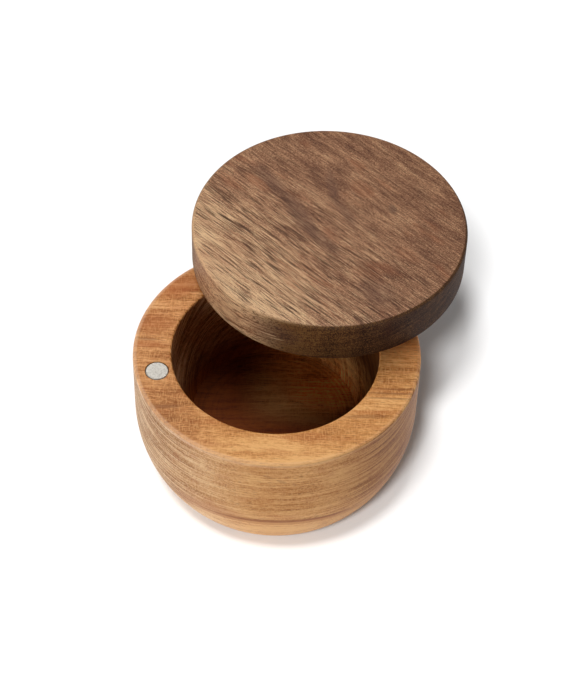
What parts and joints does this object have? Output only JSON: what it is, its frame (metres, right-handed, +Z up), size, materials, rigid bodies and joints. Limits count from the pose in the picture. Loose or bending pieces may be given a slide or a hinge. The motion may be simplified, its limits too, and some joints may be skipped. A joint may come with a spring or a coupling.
{
  "type": "salt box",
  "caption": "Round turned wooden salt box with a flat lid that swivels aside on an upright pin in the rim and is held shut by small flush magnets.",
  "frame": {"origin": "centre of the body's flat resting face, on the body's own axis", "axes": "+Z up along the body's axis; +X from the body's axis towards the pivot pin; the rim magnet is on -X; the lid is stored swung partly open, clockwise seen from above"},
  "size_m": [0.1293, 0.1407, 0.076],
  "materials": {
    "body_wood": "oiled satin, light honey acacia",
    "lid_wood": "oiled satin, dark brown acacia",
    "magnet": "nickel plated, slightly dull",
    "pin_steel": "ground steel",
    "bush_brass": "turned brass"
  },
  "bodies": {
    "body": {"body": "body_wood", "rim_magnet": "magnet", "pivot_bush": "bush_brass"},
    "lid": {"lid": "lid_wood", "lid_magnet": "magnet", "pivot_pin": "pin_steel"}
  },
  "joints": [
    {"name": "lid_swivel", "type": "hinge", "parent": "body", "child": "lid", "pos_m": [0.042, 0, 0.0575], "axis": [0, 0, 1], "continuous": true}
  ]
}
